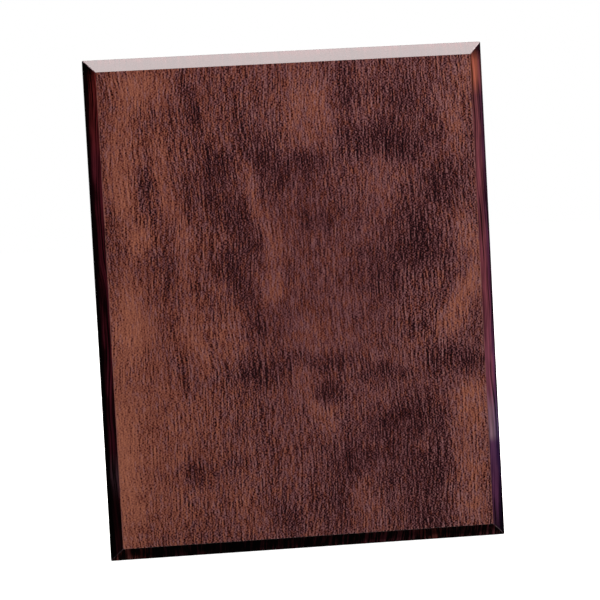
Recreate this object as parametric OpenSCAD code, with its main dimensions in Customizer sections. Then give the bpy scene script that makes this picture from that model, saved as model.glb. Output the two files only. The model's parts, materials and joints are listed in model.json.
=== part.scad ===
// Wooden award plaque, 8 x 10 inches, portrait format.
//
// A medium-density fibreboard core carries a face veneer, four bevel facings mitred at the
// corners, four edge bands and a back veneer. Two steel keyhole hangers are let flush into
// the back, one for hanging upright and one for hanging on the side, and four rubber
// bumpers hold the back off the wall.
//
// Millimetres. +Z is up and the face looks along -Y. The origin is the centre of the
// upright hanger's round entry hole, on the back surface of the board.

/* [Board] */
// Overall width of the board
plaque_w = 203.2; // [150:0.1:300]
// Overall height of the board
plaque_h = 254; // [180:0.1:380]
// Thickness of the board, from the face to the back surface
board_t = 15.9; // [14:0.1:25]
// Width of the bevel round the face, measured across the face
bevel_w = 6.4; // [4:0.1:12]
// Depth of the bevel, measured back from the face
bevel_d = 4.8; // [3:0.1:8]

/* [Facings] */
// Thickness of the face, bevel and edge facings
facing_t = 0.8; // [0.5:0.1:1.2]
// Thickness of the back veneer
back_t = 0.6; // [0.4:0.1:1]

/* [Keyhole hangers] */
// Length of a hanger plate over its round ends
hanger_l = 44; // [42:0.5:60]
// Width of a hanger plate
hanger_w = 16; // [14:0.5:20]
// Thickness of a hanger plate
hanger_t = 1.6; // [1.2:0.1:2]
// Diameter of the round entry hole
entry_dia = 9; // [8:0.1:10]
// Width of the slot above the entry hole
slot_w = 4.6; // [4.2:0.1:5]
// Rise from the entry hole's centre to the seat of the wall screw
slot_rise = 9.5; // [8:0.1:10]
// Distance from the top of the board to the upright hanger's entry hole
upright_drop = 40; // [34:0.5:60]
// Distance from the side of the board to the sideways hanger's entry hole
sideways_drop = 40; // [34:0.5:60]

/* [Hanger screws] */
// Diameter of a countersunk screw head
screw_head_dia = 6.6; // [6:0.1:7]
// Diameter over the screw's thread
screw_dia = 3.4; // [3:0.1:4]
// Overall length of a screw
screw_l = 12.7; // [9:0.1:13]

/* [Bumpers] */
// Diameter of a wall bumper
bumper_dia = 10; // [8:0.5:14]
// Thickness of a wall bumper
bumper_t = 1.5; // [1:0.1:3]
// Distance from the sides of the board to a bumper's centre
bumper_inset = 14; // [10:0.5:25]

/* [Hidden] */
$fn = 96;

// Small gaps between pieces that fit together
recess_gap = 0.15;
screw_gap = 0.05;
// How far a cutting tool runs past the surface that it cuts
past = 1;

// Frame of the board: its edges, and the planes of its face and back
top_z = upright_drop;
bottom_z = top_z - plaque_h;
middle_z = (top_z + bottom_z) / 2;
face_y = -board_t;

// Where the wall screw's head runs behind a hanger plate
pocket_dia = 11;
pocket_depth = 8;

// A hanger plate is centred between the ends of its keyhole, and its screws are near its ends
hanger_mid = (slot_rise + slot_w / 2 - entry_dia / 2) / 2;
screw_spacing = hanger_l - 13;
screw_rises = [hanger_mid + screw_spacing / 2, hanger_mid - screw_spacing / 2];

// The head's cone has an included angle of 90 degrees, so it is as deep as it narrows
screw_head_h = (screw_head_dia - screw_dia) / 2;
thread_pitch = 1.3;
thread_depth = 0.5;
tip_l = 2.6;
// The cross recess in a screw head narrows from its mouth to its floor
recess_arm_w = 0.9;
recess_span = 3.8;
recess_floor_span = 1.6;
recess_depth = 1.1;

bumper_round = 0.5;

SIDES = ["top", "right", "bottom", "left"];
UPRIGHT_SCREWS = ["upper", "lower"];
SIDEWAYS_SCREWS = ["outer", "inner"];
// Corner names with the side of the board that each lies on, in X and in Z
CORNERS = [["top_left", -1, 1], ["top_right", 1, 1], ["bottom_left", -1, -1], ["bottom_right", 1, -1]];

// Points of the board's section at one edge, as [distance in from the side, Y]. Each facing
// ends on the line that halves the angle between it and the next one.
bevel_angle = atan2(bevel_d, bevel_w);
side_arris = [0, face_y + bevel_d];
face_arris = [bevel_w, face_y];
side_arris_in = [facing_t, side_arris[1] + facing_t * tan((90 - bevel_angle) / 2)];
face_arris_in = [face_arris[0] + facing_t * tan(bevel_angle / 2), face_y + facing_t];
back_in = -back_t;

// Extrudes a flat drawing in X and Z from its plane at y_start towards +Y
module plate(y_start, thickness) {
    translate([0, y_start + thickness, 0])
        rotate([90, 0, 0])
            linear_extrude(thickness)
                children();
}

// A stadium along +Z, from a centre at z0 to one at z1
module stadium(dia, z0, z1) {
    for (z = [z0, z1])
        translate([0, z])
            circle(d = dia);
    translate([-dia / 2, z0])
        square([dia, z1 - z0]);
}

// A solid of revolution about +Y, from a profile in [radius, distance along +Y]
module turned(profile) {
    rotate([-90, 0, 0])
        rotate_extrude()
            polygon(profile);
}

// A bar along a board's edge of the given length, with its section in [distance in, Y] and
// its ends cut on the corner's mitre. The edge lies on Z = 0 and the bar reaches down from it.
module mitred_bar(edge_l, section) {
    reach = max([for (point = section) point[0]]) + past;
    intersection() {
        translate([-edge_l / 2, 0, 0])
            rotate([90, 0, 90])
                linear_extrude(edge_l)
                    polygon([for (point = section) [point[1], -point[0]]]);
        plate(face_y - past, board_t + 2 * past)
            polygon([
                [-edge_l / 2, 0],
                [edge_l / 2, 0],
                [edge_l / 2 - reach, -reach],
                [-edge_l / 2 + reach, -reach]
            ]);
    }
}

// Turns a bar that was made for the top of the board to the named side
module at_side(side) {
    quarter_turns = search([side], SIDES)[0];
    run_out = quarter_turns % 2 == 0 ? plaque_h / 2 : plaque_w / 2;
    translate([0, 0, middle_z])
        rotate([0, 90 * quarter_turns, 0])
            translate([0, 0, run_out])
                children();
}

function side_length(side) = side == "top" || side == "bottom" ? plaque_w : plaque_h;

// Puts a hanger, or its cut-outs, on the back with its slot running up
module at_upright_hanger() {
    children();
}

// Puts a hanger, or its cut-outs, on the back with its slot running to the board's left side
module at_sideways_hanger() {
    translate([-plaque_w / 2 + sideways_drop, 0, middle_z])
        rotate([0, -90, 0])
            children();
}

module at_each_hanger() {
    at_upright_hanger() children();
    at_sideways_hanger() children();
}

module hanger_outline(gap) {
    end = (hanger_l - hanger_w) / 2;
    stadium(hanger_w + 2 * gap, hanger_mid - end, hanger_mid + end);
}

// The shallow recess that a hanger plate lies in
module hanger_recess() {
    plate(-hanger_t, hanger_t + past)
        hanger_outline(recess_gap);
}

// The deeper pocket where the wall screw's head runs
module hanger_pocket() {
    plate(-pocket_depth, pocket_depth)
        stadium(pocket_dia, 0, slot_rise);
}

// The countersunk holes for a hanger's two screws
module screw_holes() {
    for (z = screw_rises)
        translate([0, 0, z])
            turned([
                [0, -screw_l - screw_gap],
                [screw_dia / 2 + screw_gap, -screw_l - screw_gap],
                [screw_dia / 2 + screw_gap, -screw_head_h],
                [screw_head_dia / 2 + screw_gap, 0],
                [screw_head_dia / 2 + screw_gap, past],
                [0, past]
            ]);
}

// A slab whose section is the same at all four sides of the board. Each point of the section
// is [distance in from the side, Y], and the list runs from the back to the face.
module slab(section) {
    translate([0, 0, middle_z])
        intersection() {
            two_sided_bar(plaque_w, plaque_h, section);
            rotate([0, 90, 0])
                two_sided_bar(plaque_h, plaque_w, section);
        }
}

// A bar along Z with the section at its left side, and mirrored at its right side
module two_sided_bar(span, bar_l, section) {
    last = len(section) - 1;
    translate([0, 0, -bar_l / 2])
        linear_extrude(bar_l)
            polygon(concat(
                [for (point = section) [point[0] - span / 2, point[1]]],
                [for (i = [last : -1 : 0]) [span / 2 - section[i][0], section[i][1]]]
            ));
}

module core_board() {
    color("#b08d5f")
        difference() {
            slab([[facing_t, back_in], side_arris_in, face_arris_in]);
            at_each_hanger() {
                hanger_recess();
                hanger_pocket();
                screw_holes();
            }
        }
}

module face_veneer() {
    color("#6b3a2c")
        slab([face_arris_in, face_arris]);
}

module back_veneer() {
    color("#3b2019")
        difference() {
            plate(back_in, back_t)
                translate([0, middle_z])
                    square([plaque_w - 2 * facing_t, plaque_h - 2 * facing_t], center = true);
            at_each_hanger()
                hanger_recess();
        }
}

module bevel_facing(side) {
    color("#2a0f10")
        at_side(side)
            mitred_bar(side_length(side), [side_arris, face_arris, face_arris_in, side_arris_in]);
}

module edge_band(side) {
    color("#1c0c0c")
        at_side(side)
            mitred_bar(side_length(side), [side_arris, side_arris_in, [facing_t, 0], [0, 0]]);
}

module hanger_plate() {
    color("#c9cbd0")
        difference() {
            plate(-hanger_t, hanger_t)
                hanger_outline(0);
            translate([0, past, 0])
                rotate([90, 0, 0])
                    cylinder(d = entry_dia, h = hanger_t + 2 * past);
            plate(-hanger_t - past, hanger_t + 2 * past)
                stadium(slot_w, 0, slot_rise);
            screw_holes();
        }
}

// One countersunk wood screw, head outwards at Y = 0. Its thread is drawn as parallel ridges.
module hanger_screw() {
    root = screw_dia / 2 - thread_depth;
    thread_start = -screw_head_h - thread_depth;
    ridges = floor((screw_l + thread_start - tip_l) / thread_pitch);
    ridge_points = [
        for (i = [0 : ridges - 1], step = [0, 0.5])
            [step == 0 ? root : screw_dia / 2, thread_start - (i + step) * thread_pitch]
    ];
    color("#b9bcc2")
        difference() {
            turned(concat(
                [[0, -screw_l], [0, 0], [screw_head_dia / 2, 0], [screw_dia / 2, -screw_head_h]],
                ridge_points,
                [[root, thread_start - ridges * thread_pitch]]
            ));
            for (turn = [0, 90])
                rotate([0, turn, 0])
                    cross_recess_arm();
        }
}

module cross_recess_arm() {
    translate([-recess_arm_w / 2, 0, 0])
        rotate([90, 0, 90])
            linear_extrude(recess_arm_w)
                polygon([
                    [past, -recess_span / 2],
                    [past, recess_span / 2],
                    [0, recess_span / 2],
                    [-recess_depth, recess_floor_span / 2],
                    [-recess_depth, -recess_floor_span / 2],
                    [0, -recess_span / 2]
                ]);
}

// A self-adhesive bumper with a rounded rim, stuck to the back in one corner of the board
module wall_bumper(corner) {
    rim = [for (turn = [0 : 15 : 90])
        [
            bumper_dia / 2 - bumper_round * (1 - cos(turn)),
            bumper_t - bumper_round * (1 - sin(turn))
        ]];
    x = corner[1] * (plaque_w / 2 - bumper_inset);
    z = middle_z + corner[2] * (plaque_h / 2 - bumper_inset);
    color("#26262a")
        translate([x, 0, z])
            turned(concat([[0, 0], [bumper_dia / 2, 0]], rim, [[0, bumper_t]]));
}

core_board();
face_veneer();
back_veneer();
for (side = SIDES) {
    bevel_facing(side);
    edge_band(side);
}
at_upright_hanger() hanger_plate();  // upright_hanger_plate
at_sideways_hanger() hanger_plate();  // sideways_hanger_plate
for (i = [0, 1]) {
    at_upright_hanger() translate([0, 0, screw_rises[i]]) hanger_screw();
    at_sideways_hanger() translate([0, 0, screw_rises[i]]) hanger_screw();
}
for (corner = CORNERS)
    wall_bumper(corner);
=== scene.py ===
"""Looks of the wooden award plaque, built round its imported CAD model.

The veneers, bevels and bands are rebuilt with the rounded, lacquered arrises of the real
board, the screws with true threads, and every surface gets a procedural material.
Lengths are in metres unless a name or comment says millimetres.
"""

import json
import math

import bmesh
import bpy
from mathutils import Matrix, Vector


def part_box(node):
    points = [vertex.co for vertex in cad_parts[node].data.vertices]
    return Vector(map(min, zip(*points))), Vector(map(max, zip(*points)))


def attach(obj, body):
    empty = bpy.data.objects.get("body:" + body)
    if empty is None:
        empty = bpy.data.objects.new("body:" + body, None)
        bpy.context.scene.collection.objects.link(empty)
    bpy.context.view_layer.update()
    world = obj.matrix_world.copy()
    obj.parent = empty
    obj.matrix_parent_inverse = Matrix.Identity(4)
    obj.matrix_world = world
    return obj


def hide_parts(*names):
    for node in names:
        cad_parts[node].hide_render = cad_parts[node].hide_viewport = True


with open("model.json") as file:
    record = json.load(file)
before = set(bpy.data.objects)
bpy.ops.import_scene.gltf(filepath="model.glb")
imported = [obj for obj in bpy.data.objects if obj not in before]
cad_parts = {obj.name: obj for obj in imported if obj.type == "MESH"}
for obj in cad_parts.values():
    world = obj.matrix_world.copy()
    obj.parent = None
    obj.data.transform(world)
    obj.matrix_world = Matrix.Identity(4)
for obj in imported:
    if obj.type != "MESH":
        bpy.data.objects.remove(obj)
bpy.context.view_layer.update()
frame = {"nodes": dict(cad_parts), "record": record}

MM = 0.001
SIDES = ("top", "right", "bottom", "left")

# ------------------------------------------------------------------ sizes from the CAD model

outline_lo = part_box("left_edge_band")[0]
outline_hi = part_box("right_edge_band")[1]
face_lo, face_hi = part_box("face_veneer")
band_lo, band_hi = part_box("top_edge_band")

HALF_W = (outline_hi.x - outline_lo.x) / 2
HALF_H = (outline_hi.z - outline_lo.z) / 2
CENTRE_X = (outline_hi.x + outline_lo.x) / 2
CENTRE_Z = (outline_hi.z + outline_lo.z) / 2
FACE_Y = face_lo.y
SIDE_ARRIS_Y = band_lo.y
BACK_Y = band_hi.y
BEVEL_W = face_lo.x - outline_lo.x
BEVEL_D = SIDE_ARRIS_Y - FACE_Y
FACING_T = face_hi.y - face_lo.y

# Hangers and screws, and the upright hanger's own sizes
HANGER_SCREWS = {"upright": ("upper", "lower"), "sideways": ("outer", "inner")}
CORNERS = ("top_left", "top_right", "bottom_left", "bottom_right")
mounts = {mount["name"]: mount for mount in frame["record"]["mounts"]}
plate_lo, plate_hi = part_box("upright_hanger_plate")
PLATE_R = plate_hi.x
PLATE_T = -plate_lo.y
ENTRY_R = mounts["upright_keyhole"]["dims"]["r_mm"] * MM
SLOT_R = 2.3 * MM
SLOT_RISE = 9.5 * MM
PLATE_ROLL_R = 0.35 * MM
KEYHOLE_ROLL_R = 0.3 * MM
PLATE_BURR_R = 0.1 * MM
KEYHOLE_BURR_R = 0.15 * MM
screw_lo, screw_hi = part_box("upright_hanger_upper_screw")
HEAD_R = (screw_hi.x - screw_lo.x) / 2
HEAD_H = 1.6 * MM
SCREW_L = -screw_lo.y
SCREW_R = 1.7 * MM
THREAD_DEPTH = 0.5 * MM
THREAD_PITCH = 1.3 * MM
THREAD_START = -HEAD_H - THREAD_DEPTH
ROOT_R = SCREW_R - THREAD_DEPTH
TIP_L = 2.6 * MM
SCREW_GAP = 0.05 * MM
HEAD_RIM = 0.12 * MM
SCREW_SIDES = 32
ROWS_PER_THREAD = 9
# Half a thread's width as a share of the pitch, and the blunt tip's radius as a share of
# the thread's root radius
THREAD_HALF_W = 0.32
TIP_SHARE = 0.04
# The driver's recess in millimetres: depth, half width of an arm, half span, inner corner
RECESS = ((0, 0.45, 1.9, 0.75), (0.9, 0.33, 1.05, 0.5), (1.1, 0.2, 0.5, 0.3))
# The way each hanger is turned, and the screws' drives from one to the next, in degrees
HANGER_TURNS = {"upright": 0, "sideways": -90}
FIRST_DRIVE = 20
DRIVE_STEP = 37
# A bumper's profile in shares of its radius and height: the points up to its rim, the
# middle and size of the rim's curve, and the points of the shallow dish inside it
BUMPER_FOOT = ((0.97, 0.0), (0.97, 0.10), (0.99, 0.10), (0.985, 0.45))
BUMPER_RIM = (0.88, 0.70, 0.09, 0.30)
BUMPER_DISH = ((0.70, 1.0), (0.64, 0.97))

# Radii of the lacquered arrises, and of the board's corners seen from the front
SIDE_ARRIS_R = 0.45 * MM
FACE_ARRIS_R = 0.4 * MM
BACK_ARRIS_R = 0.35 * MM
CORNER_R = 0.6 * MM
HIP_R = 0.35 * MM
INNER_CORNER_R = 0.1 * MM
ARC_STEPS = 5


# ------------------------------------------------------------------ mesh helpers

def new_piece(name, mesh_data, material, replaced):
    """Makes a piece of the object from a bmesh, riding on the part's one body."""
    bmesh.ops.recalc_face_normals(mesh_data, faces=mesh_data.faces)
    mesh = bpy.data.meshes.new(name)
    mesh_data.to_mesh(mesh)
    mesh_data.free()
    mesh.shade_smooth()
    mesh.set_sharp_from_angle(angle=math.radians(35))
    piece = bpy.data.objects.new(name, mesh)
    bpy.context.scene.collection.objects.link(piece)
    mesh.materials.append(material)
    weighted = piece.modifiers.new("flat_faces_stay_flat", "WEIGHTED_NORMAL")
    weighted.keep_sharp = True
    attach(piece, "root")
    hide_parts(replaced)


def arc(corner, first, second, radius, start=0.0, stop=1.0):
    """Points that round a corner of a section from its first side to its second.

    first and second are the directions of the two sides away from the corner, and start and
    stop pick a part of the arc.
    """
    corner, first, second = (Vector(v) for v in (corner, first, second))
    first.normalize()
    second.normalize()
    half_angle = first.angle(second) / 2
    centre = corner + (first + second).normalized() * radius / math.sin(half_angle)
    tangent = radius / math.tan(half_angle)
    arm_0 = corner + first * tangent - centre
    arm_1 = corner + second * tangent - centre
    sweep = arm_0.angle(arm_1)
    points = []
    for step in range(ARC_STEPS + 1):
        t = start + (stop - start) * step / ARC_STEPS
        points.append(
            centre
            + arm_0 * math.sin((1 - t) * sweep) / math.sin(sweep)
            + arm_1 * math.sin(t * sweep) / math.sin(sweep)
        )
    return points


def inner_corner(corner, first, second):
    """The corner's place on the glued face of a facing, one facing's thickness inside."""
    first, second = Vector(first).normalized(), Vector(second).normalized()
    depth = FACING_T / math.sin(first.angle(second) / 2)
    return Vector(corner) + (first + second).normalized() * depth


# ------------------------------------------------------------------ the board's section
# Points of the section are (distance in from the side, Y).

ALONG_BEVEL = Vector((BEVEL_W, -BEVEL_D))
INWARD = Vector((1, 0))
TO_BACK = Vector((0, 1))
SIDE_ARRIS = (Vector((0, SIDE_ARRIS_Y)), TO_BACK, ALONG_BEVEL)
FACE_ARRIS = (Vector((BEVEL_W, FACE_Y)), -ALONG_BEVEL, INWARD)
BACK_ARRIS = (Vector((0, BACK_Y)), INWARD, -TO_BACK)
SIDE_ARRIS_IN = inner_corner(*SIDE_ARRIS)
FACE_ARRIS_IN = inner_corner(*FACE_ARRIS)


def with_corner_radius(points, radius):
    return [(point.x, point.y, radius) for point in points]


def bevel_section():
    """A bevel facing, with its half of the rounded arris on both long edges."""
    return (
        with_corner_radius(arc(*SIDE_ARRIS, SIDE_ARRIS_R, 0.5, 1.0), CORNER_R)
        + with_corner_radius(arc(*FACE_ARRIS, FACE_ARRIS_R, 0.0, 0.5), HIP_R)
        + with_corner_radius([FACE_ARRIS_IN, SIDE_ARRIS_IN], INNER_CORNER_R)
    )


def band_section():
    """An edge band, from its inner edge at the back, round the outside to the side arris."""
    return (
        with_corner_radius([Vector((FACING_T, BACK_Y))], INNER_CORNER_R)
        + with_corner_radius(arc(*BACK_ARRIS, BACK_ARRIS_R), CORNER_R)
        + with_corner_radius(arc(*SIDE_ARRIS, SIDE_ARRIS_R, 0.0, 0.5), CORNER_R)
        + with_corner_radius([SIDE_ARRIS_IN], INNER_CORNER_R)
    )


def quarter_arc(along, across, inset, radius, start, stop):
    """Points round the corner of a rounded rectangle, in one quadrant, by angle in degrees."""
    points = []
    for step in range(ARC_STEPS + 1):
        angle = math.radians(start + (stop - start) * step / ARC_STEPS)
        points.append(
            (
                along - inset - radius + radius * math.cos(angle),
                across - inset - radius + radius * math.sin(angle),
            )
        )
    return points


def mitred_strip(name, side, section, material, replaced):
    """A strip along one side, whose ends turn half of each rounded corner to the mitre."""
    flat = side in ("top", "bottom")
    along, across = (HALF_W, HALF_H) if flat else (HALF_H, HALF_W)
    turn = Matrix.Rotation(math.radians(90) * SIDES.index(side), 3, "Y")
    middle = Vector((CENTRE_X, 0, CENTRE_Z))
    made = bmesh.new()
    rows = []
    for inset, y, radius in section:
        right_end = quarter_arc(along, across, inset, radius, 45, 90)
        left_end = [(-s, n) for s, n in reversed(right_end)]
        rows.append([
            made.verts.new(middle + turn @ Vector((s, y, n))) for s, n in right_end + left_end
        ])
    for row, following in zip(rows, rows[1:] + rows[:1]):
        for i in range(len(row) - 1):
            made.faces.new((row[i], row[i + 1], following[i + 1], following[i]))
    made.faces.new([row[0] for row in rows])
    made.faces.new([row[-1] for row in rows])
    new_piece(name, made, material, replaced)


def ring(made, inset, y, radius):
    """A rounded rectangle of vertices round the whole board."""
    corner = quarter_arc(HALF_W, HALF_H, inset, radius, 0, 90)
    outline = (
        corner
        + [(-x, z) for x, z in reversed(corner)]
        + [(-x, -z) for x, z in corner]
        + [(x, -z) for x, z in reversed(corner)]
    )
    return [made.verts.new((CENTRE_X + x, y, CENTRE_Z + z)) for x, z in outline]


def bridge(made, ring_a, ring_b):
    """Joins two closed rings of the same length with faces."""
    count = len(ring_a)
    for i in range(count):
        j = (i + 1) % count
        made.faces.new((ring_a[i], ring_a[j], ring_b[j], ring_b[i]))


def face_sheet(material):
    """The face veneer, with its half of the rounded arris all round."""
    made = bmesh.new()
    rings = [ring(made, FACE_ARRIS_IN.x, FACE_ARRIS_IN.y, INNER_CORNER_R)]
    for point in arc(*FACE_ARRIS, FACE_ARRIS_R, 0.5, 1.0):
        rings.append(ring(made, point.x, point.y, HIP_R))
    for ring_a, ring_b in zip(rings, rings[1:]):
        bridge(made, ring_a, ring_b)
    made.faces.new(rings[0])
    made.faces.new(rings[-1])
    new_piece("lacquered_face", made, material, "face_veneer")


# ------------------------------------------------------------------ hangers, screws and bumpers
# These are drawn like the upright hanger, with the entry hole at the origin and the slot
# rising, and then turned and moved to their places on the back.

def join_rows(made, rows):
    """Joins closed rows of vertices, each to the next, with faces."""
    for row, following in zip(rows, rows[1:]):
        bridge(made, row, following)


def round_points(x, z, radius, start, stop, steps):
    """Points (x, z) along an arc, by angle in degrees."""
    angles = [math.radians(start + (stop - start) * i / steps) for i in range(steps + 1)]
    return [(x + radius * math.cos(a), z + radius * math.sin(a)) for a in angles]


def plate_outline(grow):
    """The hanger plate's outline, a stadium."""
    radius = PLATE_R + grow
    return round_points(0, plate_hi.z - PLATE_R, radius, 0, 180, 28) + round_points(
        0, plate_lo.z + PLATE_R, radius, 180, 360, 28
    )


def keyhole_outline(grow):
    """The round entry hole and the slot above it, as one outline."""
    entry_r, slot_r = ENTRY_R + grow, SLOT_R + grow
    meet = math.degrees(math.asin(slot_r / entry_r))
    return round_points(0, SLOT_RISE, slot_r, 0, 180, 20) + round_points(
        0, 0, entry_r, 90 + meet, 450 - meet, 36
    )


def screw_hole_outline(z):
    return lambda radius: round_points(0, z, radius, 0, 350, 35)


def pressed_edge(radius, back_radius, outward):
    """(growth, Y) steps down a stamped edge that is rounded at the back and eased inside."""
    steps = [
        (outward * radius * (1 - math.sin(t)), -radius * (1 - math.cos(t)))
        for t in (math.radians(15 * i) for i in range(7))
    ]
    return steps + [(0, -PLATE_T + back_radius), (outward * back_radius, -PLATE_T)]


def hanger_plate(hanger, turn, place, material):
    """A stamped keyhole hanger with rolled edges and countersunk holes for its screws."""
    made = bmesh.new()
    screws = [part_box(f"upright_hanger_{screw}_screw") for screw in HANGER_SCREWS["upright"]]
    countersink = [(HEAD_R + SCREW_GAP, 0), (SCREW_R + SCREW_GAP, -PLATE_T)]
    contours = [
        (plate_outline, pressed_edge(PLATE_ROLL_R, PLATE_BURR_R, -1)),
        (keyhole_outline, pressed_edge(KEYHOLE_ROLL_R, KEYHOLE_BURR_R, 1)),
    ] + [(screw_hole_outline((lo.z + hi.z) / 2), countersink) for lo, hi in screws]
    outer_edges = ([], [])
    for outline, steps in contours:
        rows = [
            [made.verts.new(place + turn @ Vector((x, y, z))) for x, z in outline(grow)]
            for grow, y in steps
        ]
        join_rows(made, rows)
        for edges, row in zip(outer_edges, (rows[0], rows[-1])):
            for a, b in zip(row, row[1:] + row[:1]):
                edges.append(made.edges.get((a, b)))
    for edges in outer_edges:
        bmesh.ops.triangle_fill(made, use_beauty=True, edges=edges)
    new_piece(f"stamped_hanger_{hanger}", made, material, f"{hanger}_hanger_plate")


def recess_outline(arm_half_w, half_span, corner):
    """The cross of a driver's recess, with its inner corners cut off."""
    points = []
    for turn in range(4):
        c, s = math.cos(math.radians(90 * turn)), math.sin(math.radians(90 * turn))
        for x, z in (
            (half_span, -arm_half_w),
            (half_span, arm_half_w),
            (corner, arm_half_w),
            (arm_half_w, corner),
        ):
            points.append((x * c - z * s, x * s + z * c))
    return points


def thread_radius(y, turn):
    """Radius of a screw's threaded shank at a depth y and a share of a turn."""
    to_tip = min(1.0, (y + SCREW_L) / TIP_L)
    phase = ((THREAD_START - y) / THREAD_PITCH - turn) % 1.0
    ridge = max(0.0, 1 - abs(phase - 0.5) / THREAD_HALF_W)
    run_out = min(1.0, max(0.0, (THREAD_START - y) / THREAD_PITCH))
    ridge_height = THREAD_DEPTH * ridge * run_out * min(1.0, 0.25 + to_tip)
    return ROOT_R * max(TIP_SHARE, to_tip ** 0.7) + ridge_height


def wood_screw(hanger, screw, turn, material, drive_angle):
    """A countersunk cross-recess screw with a true helical thread, its head at Y = 0."""
    node = f"{hanger}_hanger_{screw}_screw"
    lo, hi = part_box(node)
    place = Vector(((lo.x + hi.x) / 2, 0, (lo.z + hi.z) / 2))
    drive = Matrix.Rotation(math.radians(drive_angle), 3, "Y")
    made = bmesh.new()

    def row(y, radius_at):
        points = []
        for i in range(SCREW_SIDES):
            angle = 2 * math.pi * i / SCREW_SIDES
            radius = radius_at(i / SCREW_SIDES)
            points.append(Vector((radius * math.cos(angle), y, radius * math.sin(angle))))
        return [made.verts.new(place + turn @ point) for point in points]

    rows = []
    for y, radius in (
        (0, HEAD_R - HEAD_RIM),
        (-HEAD_RIM, HEAD_R),
        (-HEAD_H, SCREW_R),
        (THREAD_START, ROOT_R),
    ):
        rows.append(row(y, lambda share: radius))
    step = THREAD_PITCH / ROWS_PER_THREAD
    for i in range(1, int((SCREW_L + THREAD_START) / step) + 1):
        y = THREAD_START - step * i
        rows.append(row(y, lambda share: thread_radius(y, share)))
    join_rows(made, rows)
    tip = made.verts.new(place + turn @ Vector((0, -SCREW_L, 0)))
    for a, b in zip(rows[-1], rows[-1][1:] + rows[-1][:1]):
        made.faces.new((a, b, tip))

    crosses = []
    for depth, arm, span, corner in RECESS:
        outline = recess_outline(arm * MM, span * MM, corner * MM)
        points = [drive @ Vector((x, -depth * MM, z)) for x, z in outline]
        crosses.append([made.verts.new(place + turn @ point) for point in points])
    join_rows(made, crosses)
    made.faces.new(crosses[-1])
    edges = []
    for loop in (rows[0], crosses[0]):
        edges += [made.edges.get((a, b)) for a, b in zip(loop, loop[1:] + loop[:1])]
    bmesh.ops.triangle_fill(made, use_beauty=True, edges=edges)
    new_piece(f"wood_screw_{hanger}_{screw}", made, material, node)


def rubber_bumper(corner, material):
    """A moulded bumper: a drafted disc with a soft rim, a faint dish and its adhesive pad."""
    node = f"wall_bumper_{corner}"
    lo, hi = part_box(node)
    radius, height = (hi.x - lo.x) / 2, hi.y
    rim_r, rim_y, rim_out, rim_up = BUMPER_RIM
    rim = [
        (rim_r + rim_out * math.cos(t), rim_y + rim_up * math.sin(t))
        for t in (math.radians(15 * i) for i in range(7))
    ]
    made = bmesh.new()
    centre = Vector(((lo.x + hi.x) / 2, 0, (lo.z + hi.z) / 2))
    rows = []
    for share, rise in (*BUMPER_FOOT, *rim, *BUMPER_DISH):
        outline = round_points(0, 0, share * radius, 0, 352.5, 47)
        rows.append([made.verts.new(centre + Vector((x, rise * height, z))) for x, z in outline])
    join_rows(made, rows)
    made.faces.new(rows[0])
    made.faces.new(rows[-1])
    new_piece(f"rubber_bumper_{corner}", made, material, node)


# ------------------------------------------------------------------ node helpers

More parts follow.
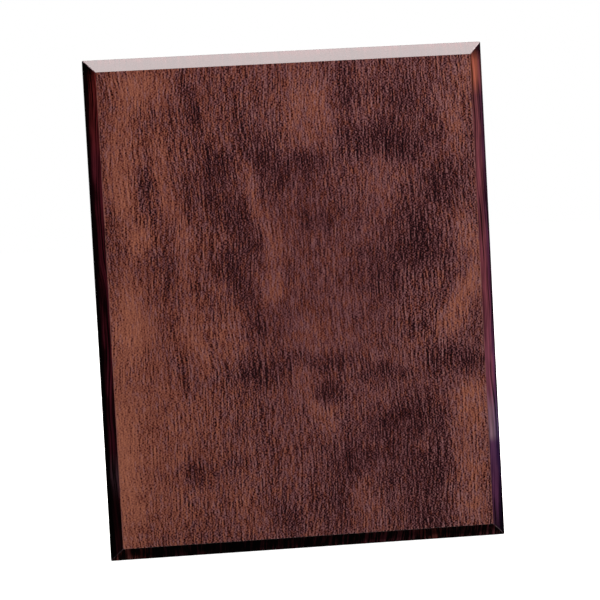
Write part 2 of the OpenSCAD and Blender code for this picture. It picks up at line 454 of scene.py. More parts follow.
class Tree:
    """A material's node tree, with one short call for each kind of node."""

    def __init__(self, name):
        self.material = bpy.data.materials.new(name)
        self.material.use_nodes = True
        self.nodes = self.material.node_tree.nodes
        self.links = self.material.node_tree.links
        self.shader = self.nodes["Principled BSDF"]
        place = self.nodes.new("ShaderNodeTexCoord").outputs["Object"]
        # The row frame in millimetres
        self.place = self.vector("MULTIPLY", place, (1 / MM, 1 / MM, 1 / MM))
        self.x, self.y, self.z = self.axes(self.place)

    def feed(self, socket, value):
        if isinstance(value, bpy.types.NodeSocket):
            self.links.new(value, socket)
        else:
            socket.default_value = value

    def set(self, **values):
        """Sets or links the shader's sockets, with underscores for the spaces in their names."""
        for name, value in values.items():
            socket = next(s for s in self.shader.inputs if s.name.replace(" ", "_") == name)
            self.feed(socket, value)

    def math(self, operation, a, b=0.0, c=0.0):
        node = self.nodes.new("ShaderNodeMath")
        node.operation = operation
        for socket, value in zip(node.inputs, (a, b, c)):
            self.feed(socket, value)
        return node.outputs[0]

    def sum(self, start, *terms):
        """start plus each (value, weight) term, with a value of 0.5 counting as nothing."""
        total = start
        for value, weight in terms:
            term = self.math("MULTIPLY", self.math("SUBTRACT", value, 0.5), weight)
            total = self.math("ADD", total, term)
        return total

    def vector(self, operation, a, b=(0, 0, 0), c=(0, 0, 0)):
        node = self.nodes.new("ShaderNodeVectorMath")
        node.operation = operation
        self.feed(node.inputs[0], a)
        self.feed(node.inputs[1], b)
        if operation == "MULTIPLY_ADD":
            self.feed(node.inputs[2], c)
        return node.outputs["Value" if operation == "LENGTH" else "Vector"]

    def axes(self, vector):
        node = self.nodes.new("ShaderNodeSeparateXYZ")
        self.feed(node.inputs[0], vector)
        return tuple(node.outputs)

    def combine(self, x, y, z):
        node = self.nodes.new("ShaderNodeCombineXYZ")
        for socket, value in zip(node.inputs, (x, y, z)):
            self.feed(socket, value)
        return node.outputs[0]

    def noise(self, cell, detail=0.0, place=None, offset=0.0, colour=False, rough=0.5):
        """Noise whose cells have these sizes in millimetres along X, Y and Z.

        Each call's offset keeps its pattern from repeating another's.
        """
        scaled = self.vector(
            "MULTIPLY_ADD",
            place or self.place,
            tuple(1 / c for c in cell),
            (offset, offset, offset),
        )
        node = self.nodes.new("ShaderNodeTexNoise")
        self.feed(node.inputs["Vector"], scaled)
        node.inputs["Scale"].default_value = 1.0
        node.inputs["Detail"].default_value = detail
        node.inputs["Roughness"].default_value = rough
        return node.outputs["Color" if colour else "Fac"]

    def ramp(self, value, low, high, to_low=0.0, to_high=1.0, smooth=True):
        """Maps value from low..high to to_low..to_high, held at the ends."""
        node = self.nodes.new("ShaderNodeMapRange")
        node.interpolation_type = "SMOOTHSTEP" if smooth else "LINEAR"
        for name, x in (
            ("Value", value),
            ("From Min", low),
            ("From Max", high),
            ("To Min", to_low),
            ("To Max", to_high),
        ):
            self.feed(node.inputs[name], x)
        return node.outputs["Result"]

    def colours(self, value, stops):
        """A colour ramp through (position, (r, g, b)) stops."""
        node = self.nodes.new("ShaderNodeValToRGB")
        elements = node.color_ramp.elements
        while len(elements) < len(stops):
            elements.new(0.5)
        for element, (position, rgb) in zip(elements, stops):
            element.position = position
            element.color = (*rgb, 1.0)
        self.feed(node.inputs["Fac"], value)
        return node.outputs["Color"]

    def mix(self, factor, a, b, blend="MIX"):
        node = self.nodes.new("ShaderNodeMix")
        node.data_type = "RGBA"
        node.blend_type = blend
        for socket, value in ((node.inputs[0], factor), (node.inputs[6], a), (node.inputs[7], b)):
            if isinstance(value, tuple):
                value = (*value, 1.0)
            self.feed(socket, value)
        return node.outputs[2]

    def bump(self, height, distance_mm, strength=1.0):
        node = self.nodes.new("ShaderNodeBump")
        node.inputs["Strength"].default_value = strength
        node.inputs["Distance"].default_value = distance_mm * MM
        self.feed(node.inputs["Height"], height)
        self.feed(self.shader.inputs["Normal"], node.outputs["Normal"])


# ------------------------------------------------------------------ the wood's figure
# Soft patches of lighter and darker wood: place as shares of the face's width and height
# from its lower left corner, half sizes in millimetres, tilt in degrees, and strength,
# which is above 0 for lighter wood.
FIGURE = (
    # the pale left side
    (0.00, 0.17, 22, 90, 0, 0.46),
    (0.14, 0.26, 44, 80, 0, 0.17),
    (0.05, 0.49, 16, 36, 0, 0.40),
    (0.09, 0.64, 12, 14, 0, 0.38),
    (0.05, 0.75, 10, 32, 6, 0.34),
    (0.12, 0.97, 26, 20, 0, 0.30),
    (0.07, 0.88, 14, 30, 0, 0.26),
    # dark marks beside it
    (0.11, 0.76, 10, 20, 4, -0.19),
    (0.16, 0.58, 10, 16, 8, -0.12),
    # ribbons
    (0.16, 0.80, 9, 26, 0, 0.20),
    (0.18, 0.71, 8, 20, 10, 0.18),
    (0.21, 0.65, 9, 16, 0, 0.18),
    (0.20, 0.57, 7, 14, 0, 0.14),
    (0.28, 0.55, 7, 16, 10, 0.07),
    (0.23, 0.42, 10, 28, 4, 0.20),
    (0.32, 0.43, 12, 22, 4, 0.22),
    (0.23, 0.74, 8, 22, 0, -0.14),
    (0.25, 0.91, 6, 38, 11, -0.20),
    (0.285, 0.73, 6, 30, 4, -0.18),
    (0.20, 0.355, 10, 20, 0, -0.18),
    # the dark mottled patch left of the middle
    (0.32, 0.79, 14, 16, 15, -0.20),
    (0.34, 0.70, 14, 22, 20, -0.20),
    (0.38, 0.62, 10, 18, 10, -0.17),
    (0.32, 0.58, 12, 16, -10, -0.20),
    (0.36, 0.53, 12, 18, 0, -0.14),
    (0.40, 0.46, 20, 16, 0, -0.16),
    (0.39, 0.73, 7, 28, 20, 0.16),
    (0.45, 0.62, 9, 22, 0, 0.12),
    (0.43, 0.53, 8, 20, 0, 0.20),
    (0.38, 0.355, 26, 12, 8, -0.20),
    # the arch over the middle
    (0.43, 0.81, 16, 14, 40, -0.20),
    (0.50, 0.77, 24, 12, 20, -0.18),
    (0.57, 0.80, 18, 10, 0, -0.14),
    (0.56, 0.90, 26, 34, 6, 0.20),
    (0.38, 0.84, 11, 18, 10, -0.15),
    (0.56, 0.66, 14, 12, 0, -0.14),
    # the upper right
    (0.66, 0.93, 14, 22, 0, -0.22),
    (0.77, 0.83, 26, 14, -12, -0.28),
    (0.65, 0.83, 13, 15, 0, -0.18),
    (0.81, 0.92, 16, 22, 0, -0.16),
    (0.90, 0.85, 12, 16, 0, -0.20),
    (0.74, 0.74, 20, 18, 20, 0.10),
    (0.94, 0.86, 14, 30, -14, 0.22),
    (0.99, 0.97, 14, 14, 0, 0.20),
    (0.88, 0.72, 20, 34, -35, -0.22),
    (0.84, 0.61, 28, 19, -35, -0.27),
    (0.74, 0.55, 24, 24, 0, -0.16),
    # the pale curved band and the dark one under it
    (0.98, 0.62, 14, 18, 0, 0.28),
    (0.98, 0.52, 12, 26, -35, 0.34),
    (0.91, 0.44, 11, 26, -42, 0.25),
    (0.74, 0.38, 12, 30, -72, 0.06),
    (0.83, 0.43, 8, 10, -20, -0.14),
    (0.95, 0.355, 16, 12, -38, -0.22),
    (0.88, 0.36, 12, 20, -50, -0.13),
    (0.72, 0.34, 22, 10, 0, -0.18),
    (0.56, 0.37, 34, 9, 0, -0.12),
    (0.57, 0.43, 20, 14, 0, 0.14),
    # the lower right
    (0.94, 0.12, 16, 64, 0, 0.27),
    (0.96, 0.27, 14, 24, -25, 0.27),
    (0.80, 0.24, 32, 20, 0, -0.18),
    (0.72, 0.16, 28, 32, 0, -0.11),
    (0.84, 0.12, 26, 26, 0, -0.22),
    (0.88, 0.19, 11, 22, 0, -0.16),
    (0.83, 0.02, 26, 18, 0, -0.20),
    (0.82, 0.18, 8, 8, 0, 0.18),
    (0.66, 0.07, 12, 26, 0, 0.14),
    (0.61, 0.16, 14, 22, 10, -0.19),
    (0.58, 0.06, 14, 20, 10, -0.16),
    (0.57, 0.30, 13, 11, 0, -0.24),
    (0.55, 0.26, 10, 36, 25, 0.20),
    # the lower left
    (0.20, 0.15, 15, 10, 20, -0.22),
    (0.32, 0.16, 16, 10, 0, -0.14),
    (0.34, 0.08, 12, 26, 8, 0.14),
    (0.13, 0.08, 16, 28, 0, 0.13),
    (0.44, 0.04, 14, 14, 0, -0.18),
)
# Where the grain is calmer, in the same terms, but for the tilt and the strength
CALM = (0.54, 0.54, 55, 75)


def oval(tree, flat, u, v, half_w, half_h, tilt):
    """Distance from the middle of an oval on the face: 1 on its outline."""
    node = tree.nodes.new("ShaderNodeMapping")
    node.vector_type = "TEXTURE"
    tree.feed(node.inputs["Vector"], flat)
    node.inputs["Location"].default_value = (
        (face_lo.x + u * (face_hi.x - face_lo.x)) / MM,
        (face_lo.z + v * (face_hi.z - face_lo.z)) / MM,
        0.0,
    )
    node.inputs["Rotation"].default_value = (0.0, 0.0, math.radians(tilt))
    node.inputs["Scale"].default_value = (half_w, half_h, 1.0)
    return tree.vector("LENGTH", node.outputs["Vector"])


def wandering_place(tree):
    """The place on the board's front in millimetres, bent a little so that ovals look grown."""
    wander = tree.noise((14, 14, 20), detail=2.0, offset=3.0, colour=True)
    wander = tree.vector("SUBTRACT", wander, (0.5, 0.5, 0.5))
    x, _, z = tree.axes(tree.vector("MULTIPLY_ADD", wander, (13, 0, 18), tree.place))
    return tree.combine(x, z, 0.0)


def figured_value(tree, flat):
    """The wood's figure: lightness of the broad patches, from about -1 to 1."""
    total = None
    for *place, tilt, strength in FIGURE:
        patch = tree.ramp(oval(tree, flat, *place, tilt), 1.0, 0.0, 0.0, strength)
        total = patch if total is None else tree.math("ADD", total, patch)
    return total


def swaying_grain(tree):
    """The board's place, with the upright grain swaying a little from side to side."""
    sway = tree.noise((30, 30, 45), detail=1.0, offset=7.0, colour=True)
    sway = tree.vector("SUBTRACT", sway, (0.5, 0.5, 0.5))
    return tree.vector("MULTIPLY_ADD", sway, (7, 0, 0), tree.place)


# Fibres: length in millimetres, contrast, and an offset that makes each set its own
FIBRES = ((0.9, 1.55, 17.0), (5.0, 1.10, 1.0), (22.0, 0.85, 47.0))
FIBRE_W = 0.55
GROOVE_W = 1.0
GROOVE_SHARE = 0.17


def fine_grain(tree, grain):
    """Fine upright fibres and short pores, about 0 on average.

    Each pale fibre lies between two darker grooves, so that the grain looks crisp.
    """
    total = 0.0
    for length, contrast, offset in FIBRES:
        cell = (FIBRE_W, FIBRE_W, length)
        for shift, share in ((0.0, 1.0), (-GROOVE_W, -GROOVE_SHARE), (GROOVE_W, -GROOVE_SHARE)):
            place = tree.vector("ADD", grain, (shift, 0, 0))
            fibre = tree.noise(cell, place=place, offset=offset)
            total = tree.sum(total, (fibre, contrast * share))
    return total


def from_edges(tree):
    """Distances in millimetres from the nearer side edge, and from the nearer end edge."""
    across = tree.math("ABSOLUTE", tree.math("SUBTRACT", tree.x, CENTRE_X / MM))
    along = tree.math("ABSOLUTE", tree.math("SUBTRACT", tree.z, CENTRE_Z / MM))
    return (
        tree.math("SUBTRACT", HALF_W / MM, across),
        tree.math("SUBTRACT", HALF_H / MM, along),
    )


# Colours of the face from its darkest pores, at 0, to its palest fibres, at 1
WOOD_STOPS = (
    (0.00, (0.0050, 0.0015, 0.0020)),
    (0.25, (0.0180, 0.0045, 0.0050)),
    (0.34, (0.0390, 0.0100, 0.0098)),
    (0.43, (0.0800, 0.0215, 0.0190)),
    (0.50, (0.1370, 0.0435, 0.0400)),
    (0.58, (0.1880, 0.0680, 0.0610)),
    (0.69, (0.2450, 0.0970, 0.0810)),
    (0.80, (0.2950, 0.1210, 0.0980)),
    (1.00, (0.3700, 0.1560, 0.1200)),
)
# The lightness of plain wood, the figure's weight, and the lightnesses at 0 and 1 above
PLAIN_WOOD = 0.46
FIGURE_CONTRAST = 1.20
LIGHTNESS_RANGE = (-0.5, 1.5)
# The grain's contrast in the middle of the calm place, and from where to where it grows
# towards the right side, in millimetres, and up to how much
CALM_CONTRAST = 0.62
STRONGER_FROM, STRONGER_TO, STRONGER_CONTRAST = 45.0, 75.0, 1.15
# Tints between which the fibres vary
COOL_TINT = (0.96, 1.19, 1.42)
WARM_TINT = (1.05, 0.97, 0.74)
# The wood is warmer at the left and cooler towards the right: where, and by how much
WARMER_BEFORE, COOLER_AFTER = -95.0, 45.0
WARMER, COOLER = 0.15, -0.11
# The colour of the painted highlight along the face's side arrises
ARRIS_HIGHLIGHT_PAINT = (0.21, 0.090, 0.080)


def face_wood():
    """Reddish brown figured veneer under satin lacquer."""
    tree = Tree("rosewood_face")
    flat = wandering_place(tree)
    figure = figured_value(tree, flat)
    grain = swaying_grain(tree)
    fine = fine_grain(tree, grain)
    mottle = tree.noise((8, 8, 12), detail=1.0, offset=11.0)
    ribbon = tree.noise((3.2, 3.2, 70), detail=1.0, place=grain, offset=5.0)
    calm = tree.noise((34, 34, 40), detail=1.0, offset=23.0)
    contrast = tree.ramp(calm, 0.35, 0.65, 0.92, 1.12)
    calmer = tree.ramp(oval(tree, flat, *CALM, 0), 0.3, 1.0, CALM_CONTRAST, 1.0)
    stronger = tree.ramp(tree.x, STRONGER_FROM, STRONGER_TO, 1.0, STRONGER_CONTRAST)
    contrast = tree.math("MULTIPLY", tree.math("MULTIPLY", contrast, calmer), stronger)
    value = tree.sum(PLAIN_WOOD, (mottle, 0.30), (ribbon, 0.30))
    value = tree.math("MULTIPLY_ADD", figure, FIGURE_CONTRAST, value)
    value = tree.math("MULTIPLY_ADD", fine, contrast, value)
    colour = tree.colours(tree.ramp(value, *LIGHTNESS_RANGE, smooth=False), WOOD_STOPS)
    hue = tree.noise((0.9, 0.9, 3.5), detail=1.0, place=grain, offset=41.0)
    across = tree.ramp(tree.x, WARMER_BEFORE, COOLER_AFTER, WARMER, COOLER)
    warm = tree.math("ADD", tree.sum(figure, (hue, 2.2)), across)
    tint = tree.mix(tree.ramp(warm, -0.42, 0.46), COOL_TINT, WARM_TINT)
    colour = tree.mix(1.0, colour, tint, blend="MULTIPLY")
    # A painted highlight: a thin pale line along the side arrises, broken up by noise
    side, _ = from_edges(tree)
    painted_highlight = tree.ramp(side, (BEVEL_W / MM) + 0.75, (BEVEL_W / MM) + 0.1)
    patchy = tree.ramp(tree.noise((2, 2, 6), detail=2.0, offset=43.0), 0.38, 0.6, 0.15, 0.85)
    colour = tree.mix(tree.math("MULTIPLY", painted_highlight, patchy), colour, ARRIS_HIGHLIGHT_PAINT)
    roughness = tree.ramp(fine, -0.5, 0.5, 0.22, 0.14, smooth=False)
    tree.set(Base_Color=colour, Roughness=roughness, IOR=1.5, Coat_Weight=0.4, Coat_Roughness=0.08)
    tree.bump(fine, 0.012, 0.6)
    return tree.material


# Colour of the dark lacquered bevels along each side: shares of the way from the left or
# lower end, with the colour there. It is partly the stain and partly painted light: the paler
# and brighter stretches stand in for light falling on the side, and the greyish and purplish
# stretches on the right are painted reflections.
BEVEL_STAIN_AND_PAINTED_LIGHT = {
    "top": (
        (0.0, (0.012, 0.003, 0.003)),
        (1.0, (0.014, 0.003, 0.003)),
    ),
    "right": (
        (0.00, (0.018, 0.007, 0.015)),
        (0.10, (0.046, 0.014, 0.038)),
        (0.19, (0.068, 0.026, 0.064)),
        (0.205, (0.150, 0.096, 0.120)),
        (0.26, (0.145, 0.076, 0.104)),
        (0.30, (0.145, 0.044, 0.068)),
        (0.50, (0.130, 0.034, 0.046)),
        (0.75, (0.112, 0.032, 0.040)),
        (0.89, (0.085, 0.026, 0.030)),
        (0.925, (0.210, 0.062, 0.038)),
        (0.960, (0.190, 0.054, 0.034)),
        (0.985, (0.030, 0.008, 0.008)),
    ),
    "bottom": (
        (0.00, (0.120, 0.030, 0.028)),
        (0.07, (0.100, 0.018, 0.015)),
        (0.11, (0.022, 0.004, 0.006)),
        (0.45, (0.028, 0.005, 0.007)),
        (0.62, (0.060, 0.010, 0.013)),
        (0.75, (0.050, 0.010, 0.013)),
        (0.82, (0.110, 0.022, 0.018)),
        (0.89, (0.045, 0.010, 0.012)),
        (0.96, (0.110, 0.024, 0.028)),
    ),
    "left": (
        (0.00, (0.012, 0.002, 0.003)),
        (0.12, (0.020, 0.003, 0.005)),
        (0.17, (0.055, 0.026, 0.034)),
        (0.22, (0.030, 0.004, 0.008)),
        (0.60, (0.062, 0.007, 0.013)),
        (0.80, (0.075, 0.010, 0.016)),
        (0.93, (0.200, 0.024, 0.024)),
        (0.965, (0.150, 0.018, 0.016)),
        (0.985, (0.010, 0.002, 0.002)),
    ),
}
# What the colour is multiplied by along the outer edge: at the left or lower end, and along
# the rest of the side. The left side is made much darker there and the top and bottom paler;
# on the right the bluish tint, darker at the lower end, is a painted reflection.
BEVEL_EDGES = {
    "top": ((2.0, 1.4, 1.4), (2.0, 1.4, 1.4)),
    "right": ((0.12, 0.13, 0.25), (0.50, 0.50, 0.90)),
    "bottom": ((2.2, 2.6, 2.6), (2.2, 2.6, 2.6)),
    "left": ((0.06, 0.06, 0.07), (0.06, 0.06, 0.07)),
}
# How far in from the outer edge that goes, least and most, in millimetres
BEVEL_REACH = {"top": (2.4, 4.2), "right": (2.4, 4.2), "bottom": (2.4, 4.2), "left": (3.2, 5.6)}
# How the streaks come out: their values from lowest to highest, and the tones they map to
BEVEL_STREAKS = {
    "top": (0.05, 1.1, 0.15, 1.9),
    "right": (0.05, 1.1, 0.15, 1.9),
    "bottom": (0.45, 1.2, 0.10, 3.6),
    "left": (0.20, 1.1, 0.10, 2.1),
}
# What the upright sides' colour is multiplied by again in a narrow line at their outer edge
NARROW_RIM_DARKENING = (0.30, 0.30, 0.36)
# Even stain of the bands behind the bevels, and the colour of the painted highlight along the
# mitres
BAND_STAIN = (0.062, 0.015, 0.016)
MITRE_HIGHLIGHT_PAINT = (0.17, 0.13, 0.14)


def bevel_wood(side):
    """Dark stained wood under high gloss lacquer, for the bevel and the edge of one side, with
    painted light and painted reflections in its colour.
    """
    tree = Tree(f"dark_lacquer_{side}")
    upright = side in ("left", "right")
    if upright:
        share = tree.ramp(tree.z, outline_lo.z / MM, outline_hi.z / MM, smooth=False)
    else:
        share = tree.ramp(tree.x, outline_lo.x / MM, outline_hi.x / MM, smooth=False)
    # Partly stain, partly painted light and painted reflections along the side
    colour = tree.colours(share, BEVEL_STAIN_AND_PAINTED_LIGHT[side])
    grain = swaying_grain(tree)
    fibre = tree.noise((0.9, 12.0, 60.0), detail=2.0, place=grain, offset=51.0, rough=0.65)
    cloud = tree.noise((5, 5, 22), detail=2.0, offset=57.0)
    value = tree.sum(0.5, (fibre, 2.4), (cloud, 1.2))
    tone = tree.ramp(value, *BEVEL_STREAKS[side], smooth=False)
    side_edge, end_edge = from_edges(tree)
    depth = tree.math("MINIMUM", side_edge, end_edge)
    wander = tree.noise((9, 9, 16), detail=1.0, offset=61.0)
    within = tree.ramp(depth, 1.2, tree.ramp(wander, 0.3, 0.7, *BEVEL_REACH[side]))
    # Along the outer edge: a bluish painted reflection on the right, darker on the left, paler on
    # the top and bottom
    edge = tree.mix(tree.ramp(share, 0.03, 0.24), *BEVEL_EDGES[side])
    edge = tree.mix(within, edge, (1.0, 1.0, 1.0))
    if upright:
        rim = tree.ramp(depth, 1.3, 0.5)
        edge = tree.mix(rim, edge, tree.mix(1.0, edge, NARROW_RIM_DARKENING, blend="MULTIPLY"))
    colour = tree.mix(1.0, colour, edge, blend="MULTIPLY")
    behind = tree.ramp(tree.y, SIDE_ARRIS_Y / MM + 0.5, SIDE_ARRIS_Y / MM + 3.5)
    colour = tree.mix(behind, colour, BAND_STAIN)
    colour = tree.mix(1.0, colour, tree.combine(tone, tone, tone), blend="MULTIPLY")
    # A painted highlight: a thin pale line along the mitres, broken up by noise
    hip = tree.math("ABSOLUTE", tree.math("SUBTRACT", side_edge, end_edge))
    painted_highlight = tree.ramp(hip, 0.5, 0.15)
    on_bevel = tree.ramp(depth, 0.3, 1.0)
    patchy = tree.ramp(tree.noise((1.5, 1.5, 1.5), detail=2.0, offset=67.0), 0.4, 0.6, 0.25, 0.9)
    painted_highlight = tree.math("MULTIPLY", tree.math("MULTIPLY", painted_highlight, on_bevel), patchy)
    colour = tree.mix(painted_highlight, colour, MITRE_HIGHLIGHT_PAINT)
    smear = tree.noise((40, 40, 60), detail=2.0, offset=31.0)
    tree.set(Base_Color=colour, Roughness=tree.ramp(smear, 0.3, 0.7, 0.03, 0.06), IOR=1.5)
    tree.bump(tree.noise((6, 6, 6), detail=1.0, offset=37.0), 0.01, 0.2)
    return tree.material


def back_wood():
    """Plain straight-grained veneer, stained dark and thinly lacquered, with handling scuffs."""
    tree = Tree("back_veneer_wood")
    grain = swaying_grain(tree)
    bands = tree.noise((5.5, 5.5, 260), detail=3.0, place=grain, offset=71.0, rough=0.6)
    pore = tree.noise((0.35, 0.35, 9.0), detail=1.0, place=grain, offset=73.0)
    pore = tree.ramp(pore, 0.56, 0.66)
    fibre = tree.noise((0.8, 0.8, 30), detail=2.0, place=grain, offset=79.0)
    cloud = tree.noise((45, 45, 70), detail=2.0, offset=83.0)
    value = tree.sum(0.5, (bands, 1.5), (fibre, 0.8), (cloud, 0.7))
    colour = tree.colours(
        value,
        (
            (0.10, (0.022, 0.0085, 0.0065)),
            (0.45, (0.050, 0.0200, 0.0140)),
            (0.70, (0.078, 0.0330, 0.0220)),
            (0.95, (0.115, 0.0520, 0.0350)),
        ),
    )
    colour = tree.mix(tree.math("MULTIPLY", pore, 0.75), colour, (0.010, 0.004, 0.003))
    scuff = tree.noise((18, 18, 1.1), detail=3.0, offset=89.0, rough=0.7)
    scuffed = tree.ramp(cloud, 0.45, 0.6, 0.0, 0.5)
    scuff = tree.math("MULTIPLY", tree.ramp(scuff, 0.66, 0.74), scuffed)
    colour = tree.mix(scuff, colour, (0.19, 0.11, 0.08))
    roughness = tree.ramp(fibre, 0.3, 0.7, 0.42, 0.60)
    roughness = tree.math("ADD", roughness, tree.math("MULTIPLY", scuff, 0.3))
    tree.set(Base_Color=colour, Roughness=roughness, IOR=1.48)
    tree.bump(tree.math("SUBTRACT", fibre, tree.math("MULTIPLY", pore, 1.5)), 0.05, 0.7)
    return tree.material


def fibreboard():
    """Raw medium-density fibreboard: pressed fibres, with a denser and darker skin."""
    tree = Tree("raw_fibreboard")
    clump = tree.noise((1.8, 0.5, 1.8), detail=4.0, offset=91.0, rough=0.65)
    fibre = tree.noise((0.25, 0.12, 0.25), detail=2.0, offset=93.0)
    value = tree.sum(0.5, (clump, 1.3), (fibre, 0.8))
    colour = tree.colours(
        value,
        (
            (0.10, (0.250, 0.145, 0.070)),
            (0.50, (0.440, 0.290, 0.155)),
            (0.90, (0.600, 0.430, 0.260)),
        ),
    )
    from_middle = tree.math("ABSOLUTE", tree.math("SUBTRACT", tree.y, (FACE_Y + BACK_Y) / 2 / MM))
    skin = tree.ramp(from_middle, 5.0, 7.2, 0.0, 0.45)
    colour = tree.mix(skin, colour, (0.230, 0.130, 0.065))
    tree.set(Base_Color=colour, Roughness=tree.ramp(fibre, 0.3, 0.7, 0.8, 0.95), IOR=1.4)
    tree.bump(value, 0.08, 0.8)
    return tree.material


def zinc(name, wear_at):
    """Zinc-plated steel with a faint rainbow in the plating, drag marks and dull spots.

    wear_at is the height in millimetres round which the plating is worn bright.
    """
    tree = Tree(name)
    grainy = tree.noise((0.35, 0.35, 0.35), detail=2.0, offset=101.0)
    cloud = tree.noise((4, 4, 4), detail=3.0, offset=103.0, rough=0.6)
    drag = tree.noise((0.12, 0.12, 5.0), detail=2.0, offset=107.0)
    colour = tree.colours(
        tree.sum(0.5, (cloud, 1.5), (grainy, 0.4)),
        (
            (0.15, (0.46, 0.48, 0.50)),
            (0.45, (0.62, 0.64, 0.66)),
            (0.65, (0.69, 0.66, 0.58)),
            (0.90, (0.74, 0.75, 0.78)),
        ),
    )
    spot = tree.ramp(tree.noise((1.4, 1.4, 1.4), detail=3.0, offset=109.0, rough=0.7), 0.62, 0.70)
    colour = tree.mix(tree.math("MULTIPLY", spot, 0.5), colour, (0.30, 0.28, 0.26))
    drag_mark = tree.ramp(drag, 0.60, 0.70, 0.0, 0.6)
    near = tree.math("ABSOLUTE", tree.math("SUBTRACT", tree.z, wear_at))
    drag_mark = tree.math("MULTIPLY", drag_mark, tree.ramp(near, 16.0, 3.0, 0.3, 1.0))
    colour = tree.mix(drag_mark, colour, (0.82, 0.82, 0.83))
    roughness = tree.sum(0.34, (cloud, 0.35), (grainy, 0.15))
    roughness = tree.math("MULTIPLY_ADD", spot, 0.25, roughness)
    tree.set(Base_Color=colour, Metallic=1.0, Roughness=roughness)
    tree.bump(tree.sum(0.0, (grainy, 0.6), (drag, 1.2)), 0.02, 0.6)
    return tree.material


def rubber():
    """Black moulded rubber with a fine skin and specks of dust."""
    tree = Tree("black_rubber")
    skin = tree.noise((0.3, 0.3, 0.3), detail=2.0, offset=113.0)
    cloud = tree.noise((3, 3, 3), detail=3.0, offset=127.0)
    colour = tree.colours(
        tree.sum(0.5, (cloud, 1.4), (skin, 0.7)),
        ((0.1, (0.012, 0.012, 0.013)), (0.5, (0.020, 0.020, 0.022)), (0.9, (0.036, 0.035, 0.035))),
    )
    dust = tree.ramp(tree.noise((0.22, 0.22, 0.22), detail=2.0, offset=131.0), 0.60, 0.68, 0.0, 0.5)
    colour = tree.mix(dust, colour, (0.11, 0.10, 0.095))
    tree.set(Base_Color=colour, Roughness=tree.ramp(cloud, 0.3, 0.7, 0.45, 0.65), IOR=1.52)
    tree.bump(skin, 0.03, 0.6)
    return tree.material


# ------------------------------------------------------------------ the pieces

def build_wood():
    face_sheet(face_wood())
    for side in SIDES:
        bevel = bevel_wood(side)
        mitred_strip(
            f"lacquered_bevel_{side}", side, bevel_section(), bevel,
            f"{side}_bevel_facing",
        )
        mitred_strip(
            f"lacquered_band_{side}", side, band_section(), bevel,
            f"{side}_edge_band",
        )
    frame["nodes"]["core_board"].material_slots[0].material = fibreboard()
    frame["nodes"]["back_veneer"].material_slots[0].material = back_wood()


def build_hardware():
    for hanger, screws in HANGER_SCREWS.items():
        turn = Matrix.Rotation(math.radians(HANGER_TURNS[hanger]), 3, "Y")
        place = Vector(mounts[f"{hanger}_keyhole"]["pos_m"])
        hanger_plate(hanger, turn, place, zinc(f"zinc_plate_{hanger}", place.z / MM))
        for number, screw in enumerate(screws):
            steel = zinc(f"zinc_screw_{hanger}_{screw}", 0.0)
            wood_screw(hanger, screw, turn, steel, FIRST_DRIVE + DRIVE_STEP * number)
    black = rubber()
    for corner in CORNERS:
        rubber_bumper(corner, black)


# ------------------------------------------------------------------ camera, floor and light

# The camera's place from the board's middle, in its own axes: right, up and back
CAMERA_LENS_MM = 141.4
CAMERA_OFFSET = Vector((0.0020, 0.0003, 1.2023))
CAMERA_PITCH = math.radians(3.03)
CAMERA_YAW = math.radians(5.41)
CAMERA_ROLL = math.radians(3.09)

# Softboxes: direction from the board, width and height, radiance and colour
LIGHT_DISTANCE = 2.0
LIGHTS = {
    "overhead": ((0.30, -0.36, 0.90), (3.2, 1.0), 12.4, (1.0, 0.88, 0.88)),
    "low_fill": ((0.0, -0.75, -0.66), (1.0, 1.0), 1.0, (1.0, 1.0, 1.0)),
    "overhead_back": ((0.10, 0.50, 0.85), (2.4, 2.0), 7.0, (1.0, 0.95, 0.95)),
    "back_left": ((-0.80, 0.58, 0.15), (2.0, 2.4), 1.3, (1.0, 1.0, 1.0)),
    "back_right": ((0.80, 0.58, 0.15), (2.0, 2.4), 1.3, (1.0, 1.0, 1.0)),
}
# Strength of the world as the camera sees it, and as everything else does
WORLD_SEEN = 1.0
WORLD_UNSEEN = 0.01
# The floor's half width, and how far below the board it lies
FLOOR_HALF_W = 6.0
FLOOR_GAP = 0.0002


def add_camera():
    """Looks at the board from a little above and to its left, rolled by a few degrees."""
    data = bpy.data.cameras.new("main_view")
    data.lens = CAMERA_LENS_MM
    data.clip_start = 0.05
    data.clip_end = 50.0
    camera = bpy.data.objects.new("main_view", data)
    bpy.context.scene.collection.objects.link(camera)
    turn = (
        Matrix.Rotation(CAMERA_ROLL, 3, "Z")
        @ Matrix.Rotation(CAMERA_PITCH, 3, "X")
        @ Matrix.Rotation(CAMERA_YAW, 3, "Y")
    )
    facing = Matrix.Rotation(math.radians(90), 3, "X") @ turn.transposed()
    aim = Vector((CENTRE_X, SIDE_ARRIS_Y, CENTRE_Z))
    camera.matrix_world = Matrix.Translation(aim + facing @ CAMERA_OFFSET) @ facing.to_4x4()
    bpy.context.scene.camera = camera


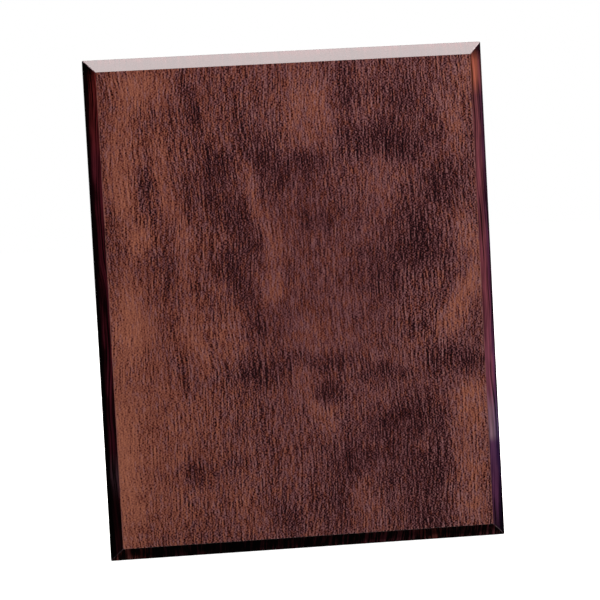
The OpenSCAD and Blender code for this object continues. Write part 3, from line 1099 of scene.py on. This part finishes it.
def add_floor():
    """A pale floor that glows evenly, so that no shadow or tint falls on it or the board."""
    made = bmesh.new()
    bmesh.ops.create_grid(made, x_segments=4, y_segments=4, size=FLOOR_HALF_W)
    mesh = bpy.data.meshes.new("floor")
    made.to_mesh(mesh)
    made.free()
    floor = bpy.data.objects.new("floor", mesh)
    floor.location = (CENTRE_X, 0, outline_lo.z - FLOOR_GAP)
    bpy.context.scene.collection.objects.link(floor)
    material = bpy.data.materials.new("pale_floor")
    material.use_nodes = True
    shader = material.node_tree.nodes["Principled BSDF"]
    shader.inputs["Base Color"].default_value = (0.5, 0.5, 0.5, 1)
    shader.inputs["Roughness"].default_value = 0.9
    shader.inputs["Emission Color"].default_value = (1, 1, 1, 1)
    shader.inputs["Emission Strength"].default_value = 1.0
    mesh.materials.append(material)
    floor.visible_glossy = False
    floor.visible_diffuse = False
    floor.visible_shadow = False


def add_softbox(name, direction, size, radiance, colour):
    """A level area light in that direction from the board's middle, facing it."""
    data = bpy.data.lights.new(name, "AREA")
    data.shape = "RECTANGLE"
    data.size, data.size_y = size
    data.energy = radiance * math.pi * size[0] * size[1]
    data.color = colour
    light = bpy.data.objects.new(name, data)
    away = Vector(direction).normalized()
    level = (Vector((1, 0, 0)) - away * away.x).normalized()
    rows = Matrix((level, away.cross(level), away)).transposed()
    middle = Vector((CENTRE_X, FACE_Y, CENTRE_Z))
    light.matrix_world = Matrix.Translation(middle + away * LIGHT_DISTANCE) @ rows.to_4x4()
    bpy.context.scene.collection.objects.link(light)
    light.visible_camera = False


def add_world():
    """White behind the object, and a dim even light on it."""
    world = bpy.data.worlds.new("studio")
    bpy.context.scene.world = world
    world.use_nodes = True
    nodes, links = world.node_tree.nodes, world.node_tree.links
    nodes.clear()
    seen = nodes.new("ShaderNodeBackground")
    unseen = nodes.new("ShaderNodeBackground")
    for background, strength in ((seen, WORLD_SEEN), (unseen, WORLD_UNSEEN)):
        background.inputs["Color"].default_value = (1, 1, 1, 1)
        background.inputs["Strength"].default_value = strength
    path = nodes.new("ShaderNodeLightPath")
    mix = nodes.new("ShaderNodeMixShader")
    output = nodes.new("ShaderNodeOutputWorld")
    links.new(path.outputs["Is Camera Ray"], mix.inputs[0])
    links.new(unseen.outputs[0], mix.inputs[1])
    links.new(seen.outputs[0], mix.inputs[2])
    links.new(mix.outputs[0], output.inputs[0])


build_wood()
build_hardware()
add_camera()
add_floor()
add_world()
for light_name, settings in LIGHTS.items():
    add_softbox(light_name, *settings)
bpy.context.scene.view_settings.view_transform = "Standard"
